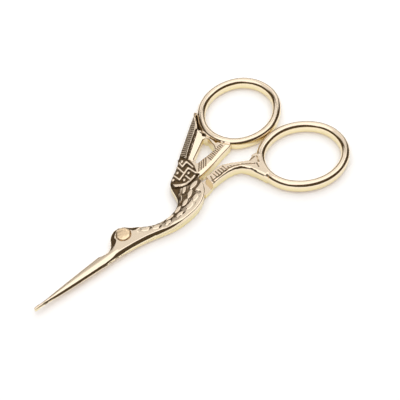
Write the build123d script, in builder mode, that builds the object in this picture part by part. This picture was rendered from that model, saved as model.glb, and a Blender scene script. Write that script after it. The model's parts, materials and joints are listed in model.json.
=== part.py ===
from build123d import *
import os
from math import atan2, cos, degrees, hypot, radians, sin

os.makedirs("parts", exist_ok=True)

# Stork embroidery scissors, shut and lying flat on z = 0, in millimetres.
# +X runs from the point of the beak to the finger rings, +Y to the front half's ring, +Z up.
# The origin is under the middle of the whole pair.

# Both halves together
stack_thickness = 3.3      # at the body, the feet and the rings
parting_gap = 0.04         # air between the flat inner faces of the two halves
overrun = 1.0              # how far a cut runs past what it cuts

# Blades, which are the beak
blade_length = 28.9        # from the screw's axis to the point
point_drop = 1.5           # from the screw's axis to the point, towards the rear half's side
point_width = 0.6
point_radius = 0.3
point_height = 1.1         # both halves together
heel_reach = 8.4           # from the screw's axis to the heel, where the blades meet the head
heel_drop = 2.03           # the same for the middle of the heel, towards the rear half's side
heel_width = 3.4           # across the shut blades
heel_height = 1.8          # both halves together
spine_bulge = 0.12         # a spine is this much fuller than a straight line
edge_inset = 0.25          # a cutting edge lies this far inside the other half's spine at the point
heel_inset = 0.5           # and this far at the heel
edge_land = 0.12           # height of the edge that the grinding leaves
edge_bevel = 0.35          # width of the ground face beside it
run_out = 4.0              # length over which the ground face runs out towards the heel
spine_bevel = 0.3          # off the outer edge of the spine and of the neck's lower side

# Head
head_radius = 2.65         # from the screw's axis to the crown
head_height = 2.6          # both halves together, at the screw
crown_shares = [
    (-1.70, -0.08), (-1.37, 0.29), (-1.03, 0.70), (-0.61, 0.94), (-0.09, 1.01), (0.37, 0.91), (0.75, 0.67),
]

# Neck and body
body_length = 26.0         # from the screw's axis to the rim behind the wing
belly_depth = 7.15         # from the screw's axis to the lowest point of the belly
shoulder_rise = 8.15       # from the screw's axis to the top of the wing's root
taper_length = 12.0        # from the screw's axis to where the neck has its full thickness
belly_shares = [
    (0.985, 0.189), (0.958, 0.427), (0.904, 0.657), (0.827, 0.832), (0.731, 0.951), (0.615, 1.0),
    (0.5, 0.997), (0.385, 0.944), (0.269, 0.832), (0.142, 0.713), (0.0, 0.615), (-0.169, 0.545),
]
nape_shares = [
    (0.115, -0.09), (0.162, 0.063), (0.238, 0.287), (0.315, 0.448), (0.404, 0.52), (0.5, 0.51),
    (0.577, 0.427), (0.642, 0.273),
]
shoulder_shares = [(0.681, 0.006), (0.702, 0.215), (0.735, 0.436), (0.808, 0.601), (0.923, 0.791), (1.0, 1.0)]

# Finger rings
ring_long = 11.75          # half the long axis of the ring's centre line
ring_slimming = 1.8        # half its short axis is this much less
ring_width = 2.4           # of the ring's section, seen from above
ring_bevel = 0.8           # off the corners of the section
ring_easing = 0.3          # off the corners that this leaves
ring_splay = 14.4          # degrees that each long axis leans outward
ring_gap = 0.16            # between the rings of the shut pair
front_ring_reach = 50.6    # from the screw's axis to the front ring's centre
rear_ring_reach = 52.0     # and to the rear ring's

# Wing, front leg and foot of the front half, as shares of the way from the wing's root to the ring
front_outline_shares = [
    (0.0, 0.0), (0.0, 0.832), (0.593, 1.77), (0.675, 1.699), (0.772, 1.066), (0.65, 0.291), (0.537, 0.209),
    (0.407, 0.153), (0.244, 0.071), (0.081, 0.015),
]
window_shares = [(0.106, 0.372), (0.390, 0.398), (0.419, 0.515), (0.443, 0.821), (0.411, 0.908), (0.138, 0.561)]
window_corner = 0.3
toe_gap_shares = [(0.459, 0.549), (0.503, 0.539), (0.503, 0.843), (0.477, 0.813)]

# Rear leg, brace and foot of the rear half, as shares of the way to its own ring
rear_outline_shares = [
    (-0.08, 0.081), (0.115, 0.085), (0.238, 0.070), (0.3, 0.097), (0.385, 0.198), (0.462, 0.306),
    (0.527, 0.376), (0.562, 0.36), (0.588, 0.318), (0.646, 0.333), (0.692, 0.399), (0.769, 0.973),
    (0.631, 1.298), (0.562, 1.221), (0.515, 1.043), (0.488, 0.849), (0.465, 0.678), (0.442, 0.539),
    (0.4, 0.422), (0.338, 0.349), (0.269, 0.314), (0.173, 0.302), (0.058, 0.314), (-0.038, 0.353),
    (-0.08, 0.36),
]

# Carving of the outer faces: feathers on the neck and body, each with its length and lean, in a hollow
feather_depth = 0.3
feather_length = 2.6
feather_width = 1.1
feather_lean = 30.0        # degrees
oval_shares = [(-1, 0.1), (-0.7, 0.7), (0, 1), (0.7, 0.7), (1, -0.1), (0.7, -0.7), (0, -1), (-0.7, -0.7)]
feather_shares = [
    (0.784, 0.049, 0.92, 1.1), (0.895, 0.119, 1.27, 0.43), (0.792, 0.322, 1.12, 0.9), (0.678, 0.266, 0.96, 1.23),
    (0.684, 0.49, 1.04, 0.6), (0.572, 0.545, 1.0, 0.47), (0.457, 0.601, 0.92, -0.07), (0.403, 0.72, 0.69, 0.17),
    (0.549, 0.734, 0.88, 0.13), (0.688, 0.713, 0.85, 0.4), (0.803, 0.559, 0.88, 0.73), (0.284, 0.573, 0.77, -0.67),
    (0.195, 0.378, 0.85, -0.93),
]
hollow_shares = [
    (0.142, 0.35), (0.192, 0.287), (0.238, 0.364), (0.307, 0.49), (0.399, 0.566), (0.499, 0.559), (0.58, 0.469),
    (0.638, 0.336), (0.684, 0.154), (0.73, 0.0), (0.822, -0.035), (0.945, 0.0), (0.961, 0.126), (0.934, 0.238),
    (0.88, 0.434), (0.842, 0.657), (0.753, 0.755), (0.672, 0.825), (0.557, 0.839), (0.442, 0.811), (0.345, 0.727),
    (0.249, 0.657), (0.168, 0.517),
]

# Key fret in a panel on the shoulder, and the fold between it and the body
fret_depth = 0.4
fret_width = 0.45
stud_d = 0.9
stud_sides = 6
panel_shares = [
    (0.749, 0.417), (0.768, 0.319), (0.815, 0.19), (0.868, 0.11), (0.999, 0.086), (1.034, 0.245), (1.068, 0.442),
    (1.08, 0.626), (1.08, 0.81), (1.011, 0.945), (0.926, 0.761), (0.811, 0.564),
]
fret_shares = [
    [(0.83, 0.589), (0.836, 0.356), (1.005, 0.521), (1.015, 0.245)],
    [(0.928, 0.748), (0.924, 0.5)],
    [(0.978, 0.859), (0.974, 0.687), (1.045, 0.748), (1.045, 0.454)],
    [(0.917, 0.301), (0.917, 0.123), (0.984, 0.16)],
]
stud_shares = [(0.88, 0.589), (0.788, 0.472), (0.868, 0.252), (0.961, 0.344)]
fold_depth = 0.6
fold_shares = [
    (0.726, 0.35), (0.757, 0.245), (0.807, 0.135), (0.861, 0.074), (0.922, 0.049), (0.999, 0.055), (0.999, -0.025),
    (0.922, -0.037), (0.845, -0.006), (0.818, 0.055), (0.765, 0.049), (0.726, 0.012), (0.688, -0.098),
    (0.657, -0.11), (0.665, 0.123), (0.695, 0.344),
]

# Wing: a sloping strip of ribs along its outer edge, a groove beside it and a pocket by the ring
strip_width = 2.1
strip_outer_depth = 0.8
strip_inner_depth = 0.15
rib_count = 22
rib_depth = 0.2            # of the gaps between the ribs, below their tops
rib_share = 0.5            # of the pitch that is rib
groove_width = 0.45
groove_depth = 0.4
groove_shares = [(0.093, 0.691), (0.243, 0.945), (0.426, 1.199)]
pocket_depth = 0.8
pocket_shares = [
    (0.434, 1.179), (0.491, 1.128), (0.548, 1.118), (0.589, 1.474), (0.609, 1.707), (0.564, 1.646), (0.524, 1.474),
    (0.487, 1.372), (0.455, 1.28),
]
knee_d = 1.1               # of the dimple at the wing's knee
knee_share = (0.455, 1.006)
ledge_width = 0.8          # of the lower ledge where the front foot meets its ring
ledge_depth = 0.5

# Lines cut in the legs: one along the rear shin, and cross lines from the first one's two ends to the last one's
line_width = 0.28
line_depth = 0.3
thigh_lines = 4
thigh_shares = [(0.065, 0.148), (0.15, 0.345), (0.165, 0.158), (0.232, 0.335)]
shank_lines = 11
shank_shares = [(0.256, 0.215), (0.256, 0.345), (0.481, 0.365), (0.481, 0.43)]
rear_leg_lines = 7
rear_leg_shares = [(0.13, 0.135), (0.13, 0.22), (0.33, 0.225), (0.33, 0.262)]
shin_shares = [(0.062, 0.252), (0.29, 0.258), (0.37, 0.3), (0.46, 0.41), (0.545, 0.55)]

# Step from a half's own layer to the full thickness, struck round the screw so that the halves swing free
step_radius = 27.4
step_clearance = 0.2

# Screw
screw_head_d = 3.8
screw_head_height = 0.5    # to the top of its dome
screw_rim_height = 0.25
screw_shank_d = 1.8
seat_depth = 0.15          # of the flat seat under the head
seat_clearance = 0.1       # round the head
running_clearance = 0.05   # round the shank, in the front half
thread_clearance = 0.02    # round the shank, in the rear half
ride_d = 4.4               # round pad on the rear half that the front half turns on

# Places that follow from these sizes
splay = radians(ring_splay)
ring_short = ring_long - ring_slimming
ring_diagonal = hypot(ring_long, ring_short)
ring_end_radius = ring_diagonal * (ring_diagonal - ring_slimming) / (2 * ring_long)
flank_radius = ring_diagonal * (ring_diagonal + ring_slimming) / (2 * ring_short)
end_shift = ring_long - ring_end_radius
ring_end_reach = end_shift * cos(splay) + ring_end_radius + ring_width / 2
ring_side_reach = flank_radius - (flank_radius - ring_short) * cos(splay) + ring_width / 2
ring_y = ring_side_reach + ring_gap / 2
mid_z = stack_thickness / 2
front_inner_z = mid_z + parting_gap / 2
rear_inner_z = mid_z - parting_gap / 2
point_x = -(blade_length + rear_ring_reach + ring_end_reach) / 2
pivot_x = point_x + blade_length
pivot_y = point_drop
heel_x = pivot_x - heel_reach
body_end_x = pivot_x + body_length
front_ring_x = pivot_x + front_ring_reach
rear_ring_x = pivot_x + rear_ring_reach
half_width = ring_y + ring_side_reach
seat_z = mid_z + head_height / 2 - seat_depth


def body_points(shares, height):
    """Points of the body, from the screw's axis; a positive share of the height lies towards +Y."""
    return [(pivot_x + u * body_length, pivot_y + v * height) for u, v in shares]


def handle_points(shares, ring_x, side):
    """Points between the wing's root and a ring's centre; side is 1 for the front half, -1 for the rear."""
    rise = side * ring_y - pivot_y
    return [(body_end_x + u * (ring_x - body_end_x), pivot_y + v * rise) for u, v in shares]


def blade_points(side, is_edge):
    """The point's corner, a place on the way and the heel, on the spine's or the cutting edge's side."""
    corner = (point_x + point_radius, side * (point_width / 2 - is_edge * edge_inset / 2))
    heel = (heel_x, pivot_y - heel_drop + side * (heel_width / 2 - is_edge * heel_inset))
    middle = ((corner[0] + heel[0]) / 2, (corner[1] + heel[1]) / 2 + side * spine_bulge)
    return corner, middle, heel


def half_plan(edge_side):
    """Outline of one half's own layer; its cutting edge is on the side given, its spine on the other."""
    top_corner, top_middle, top_heel = blade_points(1, edge_side > 0)
    low_corner, low_middle, low_heel = blade_points(-1, edge_side < 0)
    crown = [(pivot_x + u * head_radius, pivot_y + v * head_radius) for u, v in crown_shares]
    nape = body_points(nape_shares, -belly_depth)
    shoulder = body_points(shoulder_shares, shoulder_rise)
    belly = body_points(belly_shares, -belly_depth)
    root = (body_end_x, pivot_y)
    with BuildLine() as outline:
        if edge_side > 0:
            Line(top_corner, top_heel)
            Spline(low_heel, low_middle, low_corner)
        else:
            Spline(top_corner, top_middle, top_heel)
            Line(low_heel, low_corner)
        Spline(top_heel, *crown, *nape, *shoulder)
        Line(shoulder[-1], root)
        Spline(root, *belly, low_heel)
        ThreePointArc(low_corner, (point_x, (low_corner[1] + top_corner[1]) / 2), top_corner)
    return outline.line


def taper_profile(side):
    """Side view of what is ground off one half, from the point to the thick part of the neck."""
    point = (point_x - overrun, mid_z + side * point_height / 2)
    heel = (heel_x, mid_z + side * heel_height / 2)
    screw = (pivot_x, mid_z + side * head_height / 2)
    end = (pivot_x + taper_length, mid_z + side * mid_z)
    outside = mid_z + side * (mid_z + overrun)
    with BuildLine() as profile:
        Line(point, heel)
        Spline(heel, screw, end)
        Polyline(end, (end[0], outside), (point[0], outside), point)
    return profile.line


def ground_off(side, land_z):
    """What is ground off beside a half's cutting edge; it runs out into the open before the heel."""
    corner, _, heel = blade_points(side, True)
    along = Vector(corner[0] - heel[0], corner[1] - heel[1], 0)
    ahead = along.normalized()
    inward = Vector(0, 0, side).cross(along)
    rise = heel_height / 2
    with BuildPart() as wedge:
        for place in (along + ahead * overrun, ahead * run_out, Vector(0, 0, side * rise)):
            with BuildSketch(Plane(origin=Vector(*heel, land_z) + place, x_dir=inward, z_dir=along)):
                Polygon((-overrun, 0), (0, 0), (2 * edge_bevel, 2 * rise), (-overrun, 2 * rise), align=None)
        loft(ruled=True)
    return wedge.part


def spine_edges(half, side):
    """The outer edges of a half's spine and of the lower side of its neck; side is 1 for the front half."""
    spine = blade_points(-side, False)[1]
    neck = body_points(belly_shares[-2:-1], -belly_depth)[0]
    outer_z = mid_z + side * mid_z
    return [half.edges().sort_by_distance((*place, outer_z))[0] for place in (spine, neck)]


def ring_centre_line(centre_x, centre_y, lean):
    """Centre line of a finger ring: four arcs that meet in line."""
    plane = Plane(origin=(centre_x, centre_y, mid_z), x_dir=(cos(lean), sin(lean), 0), z_dir=(0, 0, 1))
    flank_shift = flank_radius - ring_short
    turn = degrees(atan2(flank_shift, end_shift))
    with BuildLine(plane) as path:
        CenterArc((end_shift, 0), ring_end_radius, 0, turn)
        CenterArc((0, -flank_shift), flank_radius, turn, 180 - 2 * turn)
        CenterArc((-end_shift, 0), ring_end_radius, 180 - turn, 2 * turn)
        CenterArc((0, flank_shift), flank_radius, 180 + turn, 180 - 2 * turn)
        CenterArc((end_shift, 0), ring_end_radius, -turn, turn)
    return path.line


def both_faces(*carvings):
    """Carvings of the upper face together with their mirror images for the lower face."""
    with BuildPart() as pair:
        add(carvings)
        mirror(about=Plane.XY.offset(mid_z))
    return pair.part


def body_carving():
    """What is cut from the outer face of the neck, body and shoulder."""
    with BuildPart() as carving:
        with BuildSketch():
            Polygon(*body_points(hollow_shares, -belly_depth), align=None)
            for u, v, size, lean in feather_shares:
                place = body_points([(u, v)], -belly_depth)[0]
                corners = [(a * size * feather_length / 2, b * size * feather_width / 2) for a, b in oval_shares]
                with Locations(Pos(*place) * Rot(0, 0, lean * feather_lean)):
                    Polygon(*corners, align=None, mode=Mode.SUBTRACT)
        extrude(amount=stack_thickness + overrun)
        with BuildSketch(Plane.XZ):
            add(Pos(0, -feather_depth) * taper_profile(1))
            make_face()
            with Locations((pivot_x + taper_length, stack_thickness - feather_depth)):
                Rectangle(body_length, feather_depth + overrun, align=(Align.MIN, Align.MIN))
        extrude(amount=half_width, both=True, mode=Mode.INTERSECT)
        with BuildSketch(Plane.XY.offset(stack_thickness - fret_depth)):
            Polygon(*body_points(panel_shares, shoulder_rise), align=None)
            for line in fret_shares:
                with BuildLine() as run:
                    Polyline(*body_points(line, shoulder_rise))
                trace(run.line, line_width=fret_width, mode=Mode.SUBTRACT)
            with Locations(*body_points(stud_shares, shoulder_rise)):
                RegularPolygon(stud_d / 2, stud_sides, mode=Mode.SUBTRACT)
        extrude(amount=fret_depth + overrun)
        with BuildSketch(Plane.XY.offset(stack_thickness - fold_depth)):
            Polygon(*body_points(fold_shares, shoulder_rise), align=None)
        extrude(amount=fold_depth + overrun)
    return carving.part


def long_line(points, width, depth):
    """A groove cut down from the top, along the points."""
    with BuildPart() as carving:
        with BuildSketch(Plane.XY.offset(stack_thickness - depth)):
            with BuildLine() as run:
                Polyline(*points)
            trace(run.line, line_width=width)
        extrude(amount=depth + overrun)
    return carving.part


def strip_section(extra_depth):
    """Section of what is cut along the wing's outer edge, from that edge inward and downward."""
    return [
        (-overrun, -overrun), (-overrun, strip_outer_depth + extra_depth), (0, strip_outer_depth + extra_depth),
        (strip_width, strip_inner_depth + extra_depth), (strip_width, -overrun),
    ]


def wing_carving():
    """What is cut from the faces of the wing: ribbed strip, groove, pocket and dimple."""
    start, end = handle_points(front_outline_shares[1:3], front_ring_x, 1)
    edge = Vector(*end) - Vector(*start)
    pitch = edge.length / rib_count
    across = Plane(origin=Vector(*start, stack_thickness), x_dir=edge.cross(Vector(0, 0, 1)), z_dir=edge)
    with BuildPart() as carving:
        with BuildSketch(Plane(origin=start, x_dir=edge, z_dir=(0, 0, 1))):
            with Locations(*[(pitch * i, overrun) for i in range(rib_count)]):
                Rectangle(pitch * (1 - rib_share), strip_width + overrun, align=(Align.MIN, Align.MAX))
        extrude(amount=stack_thickness + overrun)
        with BuildSketch(across):
            Polygon(*strip_section(rib_depth), align=None)
        extrude(amount=edge.length, mode=Mode.INTERSECT)
        with BuildSketch(across):
            Polygon(*strip_section(0), align=None)
        extrude(amount=edge.length)
        add(long_line(handle_points(groove_shares, front_ring_x, 1), groove_width, groove_depth))
        with BuildSketch(Plane.XY.offset(stack_thickness - pocket_depth)):
            Polygon(*handle_points(pocket_shares, front_ring_x, 1), align=None)
            with Locations(*handle_points([knee_share], front_ring_x, 1)):
                Circle(knee_d / 2)
        extrude(amount=pocket_depth + overrun)
    return carving.part


def cross_lines(count, corners):
    """Lines cut across a leg, spaced evenly from the first two corners to the last two."""
    first_low, first_top, last_low, last_top = (Vector(*corner) for corner in corners)
    with BuildPart() as carving:
        with BuildSketch(Plane.XY.offset(stack_thickness - line_depth)):
            for i in range(count):
                t = i / (count - 1)
                with BuildLine() as run:
                    Line(first_low + (last_low - first_low) * t, first_top + (last_top - first_top) * t)
                trace(run.line, line_width=line_width)
        extrude(amount=line_depth + overrun)
    return carving.part


def ring_ledge(path):
    """What is cut where a foot meets its ring, so that the ring stands out."""
    with BuildPart() as carving:
        with BuildSketch(Plane.XY.offset(stack_thickness - ledge_depth)):
            add(path)
            make_face()
            offset(amount=ring_width / 2 + ledge_width)
        extrude(amount=ledge_depth + overrun)
    return carving.part


def ring_outline():
    """Section of a finger ring: a bar with bevelled and eased corners."""
    with BuildSketch() as bar:
        Rectangle(ring_width, stack_thickness)
        chamfer(bar.vertices(), ring_bevel)
        chamfer(bar.vertices(), ring_easing)
    return bar.sketch


def ring_section(path):
    """Where the ring's section stands: at the start of its centre line, square to it."""
    start = path @ 0
    return Plane(origin=start, x_dir=Vector(0, 0, 1).cross(path % 0), z_dir=path % 0)


front_ring = ring_centre_line(front_ring_x, ring_y, splay)
rear_ring = ring_centre_line(rear_ring_x, -ring_y, -splay)
feathers_and_fret = body_carving()
thigh = cross_lines(thigh_lines, handle_points(thigh_shares, front_ring_x, 1))
shank = cross_lines(shank_lines, handle_points(shank_shares, front_ring_x, 1))
rear_leg = cross_lines(rear_leg_lines, handle_points(rear_leg_shares, rear_ring_x, -1))
shin = long_line(handle_points(shin_shares, rear_ring_x, -1), line_width, line_depth)
front_carving = both_faces(feathers_and_fret, wing_carving(), thigh, shank, ring_ledge(front_ring))
rear_carving = both_faces(feathers_and_fret, rear_leg, shin)

# Front half: upper blade, head, neck, body, wing, front leg, foot and ring
with BuildPart() as front_half:
    with BuildSketch(Plane.XY.offset(front_inner_z)):
        add(half_plan(1))
        make_face()
    extrude(amount=stack_thickness - front_inner_z)
    with BuildSketch(Plane.XZ):
        add(taper_profile(1))
        make_face()
    extrude(amount=half_width, both=True, mode=Mode.SUBTRACT)
    add(ground_off(1, front_inner_z + edge_land), mode=Mode.SUBTRACT)
    chamfer(spine_edges(front_half, 1), spine_bevel)
    with BuildSketch():
        Polygon(*handle_points(front_outline_shares, front_ring_x, 1), align=None)
        with BuildLine():
            FilletPolyline(*handle_points(window_shares, front_ring_x, 1), radius=window_corner, close=True)
        make_face(mode=Mode.SUBTRACT)
        Polygon(*handle_points(toe_gap_shares, front_ring_x, 1), align=None, mode=Mode.SUBTRACT)
        add(front_ring)
        make_face(mode=Mode.SUBTRACT)
    extrude(amount=stack_thickness)
    with BuildSketch(Plane.XY.offset(-overrun)):
        with Locations((pivot_x, pivot_y)):
            Circle(step_radius + step_clearance)
    extrude(amount=front_inner_z + overrun, mode=Mode.SUBTRACT)
    add(front_carving, mode=Mode.SUBTRACT)
    with BuildSketch(ring_section(front_ring)):
        add(ring_outline())
    sweep(path=front_ring)
    with BuildSketch(Plane.XY.offset(seat_z)):
        with Locations((pivot_x, pivot_y)):
            Circle(screw_head_d / 2 + seat_clearance)
    extrude(amount=stack_thickness, mode=Mode.SUBTRACT)
    with BuildSketch():
        with Locations((pivot_x, pivot_y)):
            Circle(screw_shank_d / 2 + running_clearance)
    extrude(amount=stack_thickness, mode=Mode.SUBTRACT)
front_half.part.label = "front_half"
export_step(front_half.part, "parts/front_half.step")

# Rear half: lower blade, head, neck, body, rear leg with its brace, foot and ring
with BuildPart() as rear_half:
    with BuildSketch():
        add(half_plan(-1))
        make_face()
    extrude(amount=rear_inner_z)
    with BuildSketch(Plane.XZ):
        add(taper_profile(-1))
        make_face()
    extrude(amount=half_width, both=True, mode=Mode.SUBTRACT)
    add(ground_off(-1, rear_inner_z - edge_land), mode=Mode.SUBTRACT)
    chamfer(spine_edges(rear_half, -1), spine_bevel)
    with BuildSketch():
        Polygon(*handle_points(rear_outline_shares, rear_ring_x, -1), align=None)
        add(rear_ring)
        make_face(mode=Mode.SUBTRACT)
    extrude(amount=stack_thickness)
    with BuildSketch(Plane.XY.offset(rear_inner_z)):
        with Locations((pivot_x, pivot_y)):
            Circle(step_radius)
    extrude(amount=stack_thickness, mode=Mode.SUBTRACT)
    add(rear_carving, mode=Mode.SUBTRACT)
    with BuildSketch(ring_section(rear_ring)):
        add(ring_outline())
    sweep(path=rear_ring)
    with BuildSketch(Plane.XY.offset(rear_inner_z)):
        with Locations((pivot_x, pivot_y)):
            Circle(ride_d / 2)
    extrude(amount=parting_gap)
    with BuildSketch():
        with Locations((pivot_x, pivot_y)):
            Circle(screw_shank_d / 2 + thread_clearance)
    extrude(amount=stack_thickness, mode=Mode.SUBTRACT)
rear_half.part.label = "rear_half"
export_step(rear_half.part, "parts/rear_half.step")

# Pivot screw: domed round head, plain shank down to the rear half's outer face
with BuildPart() as pivot_screw:
    crown = (0, seat_z + screw_head_height)
    rim = (screw_head_d / 2, seat_z + screw_rim_height)
    shank_x = screw_shank_d / 2
    shank_z = mid_z - head_height / 2
    with BuildSketch(Plane((pivot_x, pivot_y, 0), x_dir=(1, 0, 0), z_dir=(0, -1, 0))):
        with BuildLine():
            TangentArc(crown, rim, tangent=(1, 0))
            Polyline(rim, (rim[0], seat_z), (shank_x, seat_z), (shank_x, shank_z), (0, shank_z), crown)
        make_face()
    revolve(axis=Axis((pivot_x, pivot_y, 0), (0, 0, 1)))
pivot_screw.part.label = "pivot_screw"
export_step(pivot_screw.part, "parts/pivot_screw.step")

for piece in (front_half.part, rear_half.part, pivot_screw.part):
    box = piece.bounding_box()
    print(piece.label, len(piece.solids()), "solid,", round(piece.volume, 1), "cubic mm, from", box.min, "to", box.max)
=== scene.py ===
# %% [markdown]
# # Stork embroidery scissors
# A small pair of gold-plated scissors in the shape of a wading bird. The beak is the blades, a
# round screw is the eye, and the body, wing and legs lead to two oval finger rings. The packed
# model gives every outline, height and joint; this script adds the carving and the polish.
#
# Places and sizes on the scissors are in millimetres, and mm turns them into metres where a mesh is
# made. The table and the lights are placed in metres.

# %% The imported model
import json
import math

import bmesh
import bpy
import numpy as np
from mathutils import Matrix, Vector, kdtree
from mathutils.geometry import delaunay_2d_cdt


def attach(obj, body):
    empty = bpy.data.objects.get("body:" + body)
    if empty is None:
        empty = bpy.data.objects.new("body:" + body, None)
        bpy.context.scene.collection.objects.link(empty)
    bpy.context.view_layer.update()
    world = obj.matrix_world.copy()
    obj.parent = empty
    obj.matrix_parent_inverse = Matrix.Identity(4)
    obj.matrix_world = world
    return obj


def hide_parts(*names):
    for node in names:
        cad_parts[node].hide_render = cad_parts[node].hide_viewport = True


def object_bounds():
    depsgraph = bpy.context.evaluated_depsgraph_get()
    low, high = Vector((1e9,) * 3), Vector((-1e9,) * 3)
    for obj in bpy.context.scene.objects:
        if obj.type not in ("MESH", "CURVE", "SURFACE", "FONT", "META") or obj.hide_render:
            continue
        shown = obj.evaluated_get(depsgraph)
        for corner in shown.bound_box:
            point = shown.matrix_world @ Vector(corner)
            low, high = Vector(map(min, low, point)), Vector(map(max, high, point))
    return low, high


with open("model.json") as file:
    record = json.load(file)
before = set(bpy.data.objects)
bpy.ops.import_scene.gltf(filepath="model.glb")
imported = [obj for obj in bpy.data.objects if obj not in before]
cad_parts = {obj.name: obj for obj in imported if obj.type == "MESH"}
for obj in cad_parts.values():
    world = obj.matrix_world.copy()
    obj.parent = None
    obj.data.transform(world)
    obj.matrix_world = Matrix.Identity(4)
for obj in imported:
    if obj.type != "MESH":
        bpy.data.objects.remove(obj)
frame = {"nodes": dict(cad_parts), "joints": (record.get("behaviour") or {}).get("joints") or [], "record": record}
cad_box = [list(corner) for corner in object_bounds()]
mm = 0.001
joint = frame["joints"][0]
pivot_x, pivot_y = joint["pos_m"][0] / mm, joint["pos_m"][1] / mm
thickness = cad_box[1][2] / mm
mid_z = thickness / 2
point_x = cad_box[0][0] / mm
openings = frame["record"]["physics"]["openings"]
ring_boxes = {opening["name"].split("_")[0]: opening["box_m"] for opening in openings}
print("pivot", round(pivot_x, 2), round(pivot_y, 2), "thickness", round(thickness, 2), "mm")

# %% [markdown]
# ## Camera
# The photograph looks down on the pair from beside the point. A long lens close to the object keeps
# the slight narrowing of the far ring. The place is worked out from three things that are easy to
# judge: the angle above the table, the turn about the upright, and the distance. The lens is given
# as a ratio, how far off a card of a known half width just fills the picture.

# %% Camera
camera_height_angle = 0.9204
camera_turn = 0.7606
camera_distance = 246.06
look_at = (4.74, -2.30, 0.0)
lens_reach = 950.0
frame_half = 200.0

toward = Vector((math.sin(camera_turn), math.cos(camera_turn), 0))
place = Vector(look_at) - toward * camera_distance * math.cos(camera_height_angle)
place.z = camera_distance * math.sin(camera_height_angle)
camera = bpy.data.objects.new("camera", bpy.data.cameras.new("camera"))
camera.location = place * mm
camera.rotation_euler = (Vector(look_at) - place).to_track_quat("-Z", "Y").to_euler()
camera.data.angle = 2 * math.atan(frame_half / lens_reach)
camera.data.clip_start = 0.01
bpy.context.scene.collection.objects.link(camera)
bpy.context.scene.camera = camera
bpy.context.scene.view_settings.view_transform = "Standard"
print("camera at", [round(v, 1) for v in place], "mm")

# %% [markdown]
# ## Shader maths
# Node trees get long when each sum is a node added by hand. Here a socket is wrapped in a small
# class, so that a sum in Python adds the Math nodes, and one method makes any other node.


# %% Sockets that can be added up
class Signal:
    """A socket of a node tree that takes part in Python sums."""

    def __init__(self, tree, socket):
        self.tree, self.socket = tree, socket

    def node(self, kind, settings=None, values=None, output=0):
        """Makes a node, sets it up, joins or sets its inputs by name or number, and gives one output."""
        made = self.tree.nodes.new(kind)
        for name, value in (settings or {}).items():
            setattr(made, name, value)
        for key, value in (values or {}).items():
            if isinstance(value, Signal):
                self.tree.links.new(value.socket, made.inputs[key])
            else:
                made.inputs[key].default_value = value
        return Signal(self.tree, made.outputs[output])

    def maths(self, operation, first, second):
        return self.node("ShaderNodeMath", {"operation": operation}, {0: first, 1: second})

    def __add__(self, other):
        return self.maths("ADD", self, other)

    def __radd__(self, other):
        return self.maths("ADD", other, self)

    def __sub__(self, other):
        return self.maths("SUBTRACT", self, other)

    def __rsub__(self, other):
        return self.maths("SUBTRACT", other, self)

    def __mul__(self, other):
        return self.maths("MULTIPLY", self, other)

    def __rmul__(self, other):
        return self.maths("MULTIPLY", other, self)

    def mix(self, low, high):
        """Colour that goes from low, where this signal is 0, to high, where it is 1."""
        return self.node("ShaderNodeMix", {"data_type": "RGBA"}, {0: self, 6: low, 7: high}, 2)

    def feed(self, shader, name):
        self.tree.links.new(self.socket, shader.inputs[name])


def new_material(name):
    """A material, its main shader, and a signal to start sums from: the object's own coordinates."""
    material = bpy.data.materials.new(name)
    material.use_nodes = True
    tree = material.node_tree
    coordinates = tree.nodes.new("ShaderNodeTexCoord")
    return material, tree.nodes["Principled BSDF"], Signal(tree, coordinates.outputs["Object"])


# %% [markdown]
# ## Gold plate
# Polished plating is a metal whose colour is almost that of the light it throws back. Where the
# carving is deep, the colour is painted dark brown as the shade that falls in the hollows, and the
# plate is made rougher there, so duller. The mesh carries that depth as a value on each point,
# called carved, so the painted shade follows the shape. On an upright wall the light has bounced
# off gold and table before, so the wall's colour is painted a deeper yellow as that bounced light,
# most of all at its foot. A painted picture could hold all this too, but would fit only one size.

# %% Gold
plate_colour = (0.90, 0.765, 0.60, 1)
screw_colour = (0.90, 0.70, 0.47, 1)
painted_bounce_colour = (0.93, 0.84, 0.48, 1)
painted_hollow_shade_colour = (0.13, 0.085, 0.042, 1)
plate_roughness, screw_roughness = 0.10, 0.16
hollow_dulling, cloud_dulling = 0.25, 0.05
cloud_scale, grain_scale = 420.0, 5200.0
grain_strength, grain_depth = 0.04, 0.00002
painted_bounce_share = 1.25


def gold(name, colour, roughness):
    material, shader, here = new_material(name)
    shader.inputs["Metallic"].default_value = 1.0
    carved = here.node("ShaderNodeAttribute", {"attribute_name": "carved"}, output="Fac")
    cloud = here.node("ShaderNodeTexNoise", values={"Vector": here, "Scale": cloud_scale, "Detail": 3.0})
    grain = here.node("ShaderNodeTexNoise", values={"Vector": here, "Scale": grain_scale, "Detail": 2.0})
    facing = Signal(here.tree, here.socket.node.outputs["Normal"])
    level = facing.node("ShaderNodeSeparateXYZ", values={0: facing}, output="Z")
    height = here.node("ShaderNodeSeparateXYZ", values={0: here}, output="Z")
    # Painted reflection: steep faces turn a deeper yellow towards their foot, for light bounced off gold and
    # table.
    wall = (1 - level * level * 2) * (painted_bounce_share - height * (painted_bounce_share / (thickness * mm)))
    wall = wall.node("ShaderNodeClamp", values={0: wall})
    plate = wall.mix(colour, painted_bounce_colour)
    # Painted shade: where the carved value is high the base colour turns dark brown, for the shade in the hollows.
    carved.mix(plate, painted_hollow_shade_colour).feed(shader, "Base Color")
    (roughness + carved * hollow_dulling + cloud * cloud_dulling).feed(shader, "Roughness")
    scratches = {"Strength": grain_strength, "Distance": grain_depth, "Height": grain}
    here.node("ShaderNodeBump", values=scratches).feed(shader, "Normal")
    return material


half_gold = gold("polished_gold", plate_colour, plate_roughness)
screw_gold = gold("rosy_gold", screw_colour, screw_roughness)
print("materials", half_gold.name, screw_gold.name)

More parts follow.
